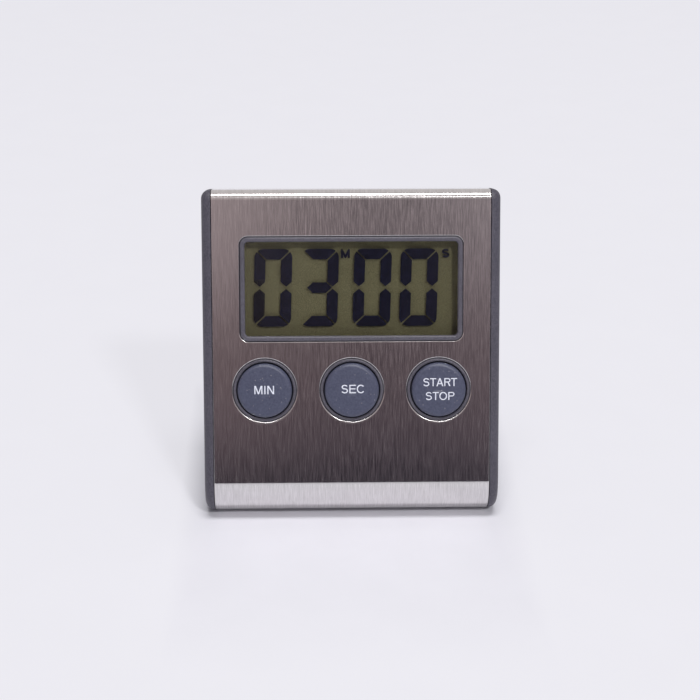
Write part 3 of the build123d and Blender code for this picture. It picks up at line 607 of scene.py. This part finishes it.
def ribbon(line, width):
    """Faces of a stroke: its middle line moved half the width to each side, square to its run."""
    run = np.gradient(line, axis=0)
    side = np.column_stack((-run[:, 1], run[:, 0])) / np.hypot(*run.T)[:, None] * width / 2
    left, right = line + side, line - side
    return np.stack((left[:-1], right[:-1], right[1:], left[1:]), 1).tolist()


def stem_and_bow(low):
    """Upright stroke and closed bow of the letters P and R. The bow reaches down to a height."""
    rise = (1 + low) / 2
    curve = bow((0.45, rise), 0.25, (1 - low - BAR) / 2, 90, -90)
    line = np.vstack(((STROKE, curve[0, 1]), curve, (STROKE, curve[-1, 1])))
    return [block(0, 0, STROKE, 1), *ribbon(line, BAR)]


# Each letter: space before it, space after it and its pieces.
ROUND = 0.515 - STROKE / 2  # half-height of a round letter's middle line, a little past the line
LETTERS = {
    "M": (
        0.12,
        0.12,
        [
            *with_mirror(block(0, 0, STROKE, 1), 0.95),
            *with_mirror(
                [(STROKE, 1), (STROKE, 0.76), (0.405, 0), (0.475, 0), (0.475, 0.21), (0.2, 1)], 0.95
            ),
        ],
    ),
    "I": (0.1, 0.1, [block(0, 0, STROKE, 1)]),
    "N": (
        0.12,
        0.12,
        [
            *with_mirror(block(0, 0, STROKE, 1), 0.79),
            [(STROKE, 1), (STROKE, 0.78), (0.615, 0), (0.655, 0), (0.655, 0.22), (0.175, 1)],
        ],
    ),
    "S": (
        0.055,
        0.055,
        ribbon(
            np.vstack(
                (
                    bow((0.39, 0.738), 0.29, 0.207, 20, 270),
                    bow((0.39, 0.294), 0.32, 0.237, 90, -160)[1:],
                )
            ),
            STROKE,
        ),
    ),
    "E": (
        0.11,
        0.04,
        [
            block(0, 0, STROKE, 1),
            block(STROKE, 0, 0.77, BAR),
            block(STROKE, 0.46, 0.72, 0.46 + BAR),
            block(STROKE, 1 - BAR, 0.77, 1),
        ],
    ),
    "C": (0.055, 0.055, ribbon(bow((0.48, 0.5), 0.41, ROUND, 40, 320), STROKE)),
    "T": (
        0.02,
        0.02,
        [
            block(0, 1 - BAR, 0.77, 1),
            block((0.77 - STROKE) / 2, 0, (0.77 + STROKE) / 2, 1 - BAR),
        ],
    ),
    "A": (
        0.0,
        0.0,
        [
            *with_mirror([(0, 0), (0.155, 0), (0.435, 0.79), (0.435, 1), (0.355, 1)], 0.87),
            [(0.245, 0.255), (0.625, 0.255), (0.582, 0.375), (0.288, 0.375)],
        ],
    ),
    "R": (0.11, 0.03, [*stem_and_bow(0.45), [(0.6, 0), (0.77, 0), (0.58, 0.45), (0.42, 0.45)]]),
    "O": (0.05, 0.05, ribbon(bow((0.48, 0.5), 0.41, ROUND, 0, 360), STROKE)),
    "P": (0.11, 0.03, stem_and_bow(0.43)),
}


def word_faces(word):
    """Faces of a word in capital heights, its letters set side by side about its own middle."""
    pen = 0.0
    faces = []
    for letter in word:
        before, after, pieces = LETTERS[letter]
        pen += before
        faces += [np.array(piece) + (pen, -0.5) for piece in pieces]
        pen = max(face[:, 0].max() for face in faces) + after
    left = min(face[:, 0].min() for face in faces)
    right = max(face[:, 0].max() for face in faces)
    return [face - ((left + right) / 2, 0) for face in faces]


for key, lines in WORDS.items():
    low, high = box_on_face(f"{key}_button")
    middle = (low + high) / 2
    pieces = [face * tall + spot for word, tall, spot in lines for face in word_faces(word)]
    flat = np.vstack(pieces)
    ends = np.cumsum([len(piece) for piece in pieces])
    faces = [list(range(end - len(piece), end)) for end, piece in zip(ends, pieces)]
    # On the crown: its height falls from the middle with the square of the distance.
    fall = CROWN_FALL * (flat**2).sum(1) / CROWN_REACH**2
    spots = np.column_stack((middle[:2] + flat, high[2] + INK_THICK - fall))
    word = new_piece(f"{key}_word", spots @ face_axes, faces, label_ink)
    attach(word, f"{key}_key")

# Buzzer. A brass disc with a silvered ceramic disc on its front, seated on a ring of the case
# over the sound holes. Two thin wires lead from it to the board.
brass = drawn_metal("buzzer_brass", screen(214, 178, 104), screen(232, 200, 128), 0.3, 1500.0)
dress(brass, "buzzer_plate")
silvered, tree, shader = new_finish("buzzer_ceramic")
speck = grain(tree, object_place(tree), 3500.0, detail=4.0)
paint(
    shader,
    Base_Color=tones(tree, speck, screen(198, 196, 188), screen(226, 224, 216)),
    Roughness=spread(tree, speck, 0.4, 0.6),
)
dress(silvered, "buzzer_ceramic")


def wire_jacket(name, dark, light):
    """Soft wire insulation with a faint sheen."""
    material, tree, shader = new_finish(name)
    skin = grain(tree, object_place(tree), 2500.0)
    paint(
        shader,
        Base_Color=tones(tree, skin, dark, light),
        Roughness=spread(tree, skin, 0.35, 0.5),
    )
    emboss(tree, shader, skin, 0.000005)
    return material


dress(
    wire_jacket("black_wire", screen(30, 30, 32), screen(44, 44, 46)),
    "buzzer_leads",
    "negative_lead",
)
dress(wire_jacket("red_wire", screen(168, 30, 30), screen(190, 42, 40)), "positive_lead")

# Battery. One small cell in a printed sleeve: slate blue with a pale band at its plus end. The
# sleeve stops short of the bare metal ends, which meet two plated leaf contacts.
SLEEVE_END = 0.0212
BAND_START = 0.0120
cell, tree, shader = new_finish("battery_jacket")
place = object_place(tree)
along = along_axis(tree, place, "X")
bare = reckon(tree, "GREATER_THAN", reckon(tree, "ABSOLUTE", along), SLEEVE_END)
banded = reckon(tree, "GREATER_THAN", along, BAND_START)
scuffs = grain(tree, place, 900.0, detail=4.0)
sleeve = blend_colours(
    tree,
    banded,
    tones(tree, scuffs, screen(58, 70, 92), screen(72, 84, 106)),
    tones(tree, scuffs, screen(198, 200, 204), screen(214, 216, 220)),
)
paint(
    shader,
    Base_Color=blend_colours(tree, bare, sleeve, screen(212, 210, 206)),
    Metallic=bare,
    Roughness=spread(tree, scuffs, 0.25, 0.4),
)
dress(cell, "battery_cell")
plated = drawn_metal("contact_metal", screen(216, 214, 208), screen(236, 234, 230), 0.25, 1800.0)
dress(plated, "positive_contact", "negative_contact")

# Fittings. Two ferrite magnets are glued flush in the back, steel screws with cross heads hold the
# case and the board, and two rubber strips are stuck under the base as feet.
ferrite, tree, shader = new_finish("magnet")
grit = grain(tree, object_place(tree), 2600.0, detail=5.0)
paint(
    shader,
    Base_Color=tones(tree, grit, screen(62, 61, 62), screen(88, 87, 88)),
    Metallic=0.4,
    Roughness=spread(tree, grit, 0.4, 0.65),
)
emboss(tree, shader, grit, 0.00002)
dress(ferrite, "left_magnet", "right_magnet")
screw = drawn_metal("screw_steel", screen(176, 176, 178), screen(206, 206, 208), 0.32, 2200.0)
dress(screw, "case_screws", "board_screws")
dress(
    soft_rubber("foot_rubber", screen(38, 38, 40), screen(52, 52, 54), 0.75),
    "front_foot",
    "rear_foot",
)

# Stage. A white sheet that runs far back, so that it fills the picture behind the timer. It is lit
# from below all round the timer, which thins the shadows there as in the photograph.
FLOOR_REACH = 8.0
FLOOR_RINGS = 24
FLOOR_SPOKES = 64
GLOW_SHARE = 0.7
GLOW_BESIDE = (0.034, 0.042)  # distances from the middle between which the glow sets in
GLOW_BEHIND = (0.02, 0.06)
GLOW_AHEAD = (-0.025, -0.075)

paper, tree, shader = new_finish("floor_sheet")
place = object_place(tree)
fibres = grain(tree, place, 60.0, detail=4.0)
milky = tones(tree, fibres, screen(236, 235, 242), screen(239, 238, 245))
paint(shader, Base_Color=milky, Roughness=0.9, Specular_IOR_Level=0.1)
beside = reckon(tree, "ABSOLUTE", along_axis(tree, place, "X"))
depth = along_axis(tree, place, "Y")
lit_below = spread(tree, beside, 0, GLOW_SHARE, *GLOW_BESIDE)
for reach in (GLOW_BEHIND, GLOW_AHEAD):
    lit_below = reckon(tree, "MAXIMUM", lit_below, spread(tree, depth, 0, GLOW_SHARE, *reach))


def seen_directly(tree):
    """Socket that is 1 where the eye sees a surface, also in metal or through glass, and else 0."""
    path = add_node(tree, "ShaderNodeLightPath", {}).outputs
    seen = reckon(tree, "MAXIMUM", path["Is Camera Ray"], path["Is Glossy Ray"])
    return reckon(tree, "MAXIMUM", seen, path["Is Transmission Ray"])


glow_share = reckon(tree, "MULTIPLY", lit_below, seen_directly(tree))
glow = add_node(tree, "ShaderNodeEmission", {"Color": screen(240, 239, 245), "Strength": 1.0})
sheet = add_node(
    tree, "ShaderNodeMixShader", {0: glow_share, 1: shader.outputs[0], 2: glow.outputs[0]}
)
tree.links.new(sheet.outputs[0], tree.nodes["Material Output"].inputs["Surface"])
# A flat disc: one round face in the middle, then rings whose radius grows with the square.
rings = FLOOR_REACH * np.linspace(0, 1, FLOOR_RINGS + 1)[1:] ** 2
circles = turned([(ring, 0) for ring in rings], FLOOR_SPOKES)
faces = [list(range(FLOOR_SPOKES)), *bands(circles).reshape(-1, 4).tolist()]
new_piece("floor", circles.reshape(-1, 3), faces, paper)

# Room. A dome that only mirrors see: dark low in front, where the photographer stands, paler
# higher up and behind, and warmer on the left. The steel takes its tones from it.
ROOM_REACH = 7.0
ROOM_ROWS = 48
ROOM_COLUMNS = 64
LEFT_TINT, RIGHT_TINT = (1.0, 0.93, 0.9, 1), (0.98, 0.98, 1.0, 1)
BACK_TONE = (0.68, 0.655, 0.655, 1)
# Places in the room, as shares of the reach.
FIGURE_AT = 0.042  # the photographer's place across the front
FIGURE_WIDE = 0.15  # and how far to each side the dark of their clothes fades out
TINT_REACH = (-0.2, 0.2)  # from where on the left to where on the right the walls' tint changes
BACK_WALL = (-0.15, 0.35)  # from where to where, front to back, the back wall's tone sets in

walls, tree, shader = new_finish("room_walls")
tree.nodes.remove(shader)
place = object_place(tree, stretch=(1 / ROOM_REACH,) * 3)
across, depth, height = (along_axis(tree, place, axis) for axis in "XYZ")
wall_beside = shades(
    tree,
    height,
    (0.108, (0.030, 0.028, 0.040, 1)),
    (0.120, (0.165, 0.132, 0.150, 1)),
    (0.140, (0.205, 0.160, 0.180, 1)),
    (0.190, (0.230, 0.180, 0.188, 1)),
    (0.250, (0.550, 0.478, 0.500, 1)),
    (0.300, (0.570, 0.506, 0.518, 1)),
    (0.800, (0.520, 0.495, 0.490, 1)),
)
wall_ahead = shades(
    tree,
    height,
    (0.108, (0.016, 0.016, 0.026, 1)),
    (0.120, (0.050, 0.042, 0.056, 1)),
    (0.140, (0.070, 0.058, 0.073, 1)),
    (0.190, (0.070, 0.055, 0.066, 1)),
    (0.250, (0.050, 0.042, 0.051, 1)),
    (0.300, (0.080, 0.067, 0.076, 1)),
    (0.800, (0.520, 0.495, 0.490, 1)),
)
aside = reckon(tree, "ABSOLUTE", reckon(tree, "SUBTRACT", across, FIGURE_AT))
clear_of_figure = add_node(
    tree,
    "ShaderNodeMapRange",
    {"Value": aside, "From Max": FIGURE_WIDE},
    interpolation_type="SMOOTHSTEP",
).outputs[0]
side = spread(tree, across, 0, 1, *TINT_REACH)
tint = blend_colours(tree, side, LEFT_TINT, RIGHT_TINT)
front_wall = blend_colours(tree, clear_of_figure, wall_ahead, wall_beside)
front_wall = blend_colours(tree, 1.0, front_wall, tint, way="MULTIPLY")
behind = spread(tree, depth, 0, 1, *BACK_WALL)
wall_tone = blend_colours(tree, behind, front_wall, BACK_TONE)
glow = add_node(tree, "ShaderNodeEmission", {"Color": wall_tone, "Strength": 1.0})
tree.links.new(glow.outputs[0], tree.nodes["Material Output"].inputs["Surface"])
walls.cycles.emission_sampling = "NONE"
# A sphere: its circles' radius and height are the cosine and sine of the angle above level.
rise = np.linspace(-math.pi / 2, math.pi / 2, ROOM_ROWS)
circles = turned(ROOM_REACH * np.column_stack((np.cos(rise), np.sin(rise))), ROOM_COLUMNS)
room = new_piece("room", circles.reshape(-1, 3), bands(circles).reshape(-1, 4).tolist(), walls)
room.visible_camera = room.visible_diffuse = room.visible_shadow = False

# Light. A large ceiling lamp almost overhead, a small lamp at the front right, and even light all
# round. Each lamp's power makes a white floor as bright as its share of full white.
CEILING_FROM, CEILING_SIZE, CEILING_SHARE = (8, 77), (1.5, 0.7), 0.48
FRONT_FROM, FRONT_SIZE, FRONT_SHARE = (24, 43), (0.3, 0.25), 0.2
ROUND_SHARE = 0.28
LAMP_AWAY = 3.0


def direction(azimuth, elevation):
    """Unit vector from the timer, by degrees round from its front to its right and degrees up."""
    turn, rise = math.radians(azimuth), math.radians(elevation)
    level = math.cos(rise)
    return Vector((math.sin(turn) * level, -math.cos(turn) * level, math.sin(rise)))


def area_lamp(name, towards, size, share):
    """Rectangular lamp that stands in a direction from the timer and looks at it."""
    lamp = bpy.data.lights.new(name, "AREA")
    lamp.shape = "RECTANGLE"
    lamp.size, lamp.size_y = size
    lamp.energy = share * math.pi**2 * LAMP_AWAY**2 / towards.z
    holder = bpy.data.objects.new(name, lamp)
    holder.location = LAMP_AWAY * towards
    holder.rotation_euler = towards.to_track_quat("Z", "Y").to_euler()
    bpy.context.scene.collection.objects.link(holder)
    return holder


ceiling_lamp = area_lamp("ceiling_lamp", direction(*CEILING_FROM), CEILING_SIZE, CEILING_SHARE)
area_lamp("front_lamp", direction(*FRONT_FROM), FRONT_SIZE, FRONT_SHARE)

# Real glass bends the steep light from the ceiling so that the lip shades only a narrow strip.
# These sheets don't bend light, so that lamp is kept off the display behind them.
shaded = bpy.data.collections.new("behind_the_lens")
ceiling_lamp.light_linking.receiver_collection = shaded
for name in ("lcd_segments", "lcd_reflector"):
    shaded.objects.link(frame["nodes"][name])
for link in shaded.collection_objects:
    link.light_linking.link_state = "EXCLUDE"

world = bpy.data.worlds.new("surroundings")
bpy.context.scene.world = world
world.use_nodes = True
tree = world.node_tree
paint(
    tree.nodes["Background"],
    Color=screen(238, 237, 243),
    Strength=spread(tree, seen_directly(tree), ROUND_SHARE, 1, 0, 1),
)

# Camera. It stands in front and above, a little to the left, and is turned by a third of a
# degree, as the photograph is.
PICTURE = 700.0  # pixels along each side
FOCAL = 1702.13  # in those pixels
CENTRE = (351.64, 341.55)  # pixel on the lens's axis
CAMERA_FROM = (-1.59, 25.28)  # degrees round from the front and degrees up
CAMERA_AWAY = 0.4
CAMERA_ROLL = math.radians(0.34)
AIM = Vector((0, -0.004205, 0.042457))  # on the face, halfway up
SENSOR = 36.0

back = direction(*CAMERA_FROM)
level = (-back).cross(Vector((0, 0, 1))).normalized()
above = level.cross(-back)
right = level * math.cos(CAMERA_ROLL) + above * math.sin(CAMERA_ROLL)
over = above * math.cos(CAMERA_ROLL) - level * math.sin(CAMERA_ROLL)
lens = bpy.data.cameras.new("camera")
lens.sensor_width = SENSOR
lens.lens = SENSOR * FOCAL / PICTURE
lens.shift_x = 0.5 - CENTRE[0] / PICTURE
lens.shift_y = CENTRE[1] / PICTURE - 0.5
lens.clip_start = 0.01
camera = bpy.data.objects.new("camera", lens)
bpy.context.scene.collection.objects.link(camera)
camera.matrix_world = Matrix.Translation(AIM + CAMERA_AWAY * back) @ Matrix(
    (right, over, back)
).transposed().to_4x4()
bpy.context.scene.camera = camera
bpy.context.scene.view_settings.view_transform = "Standard"
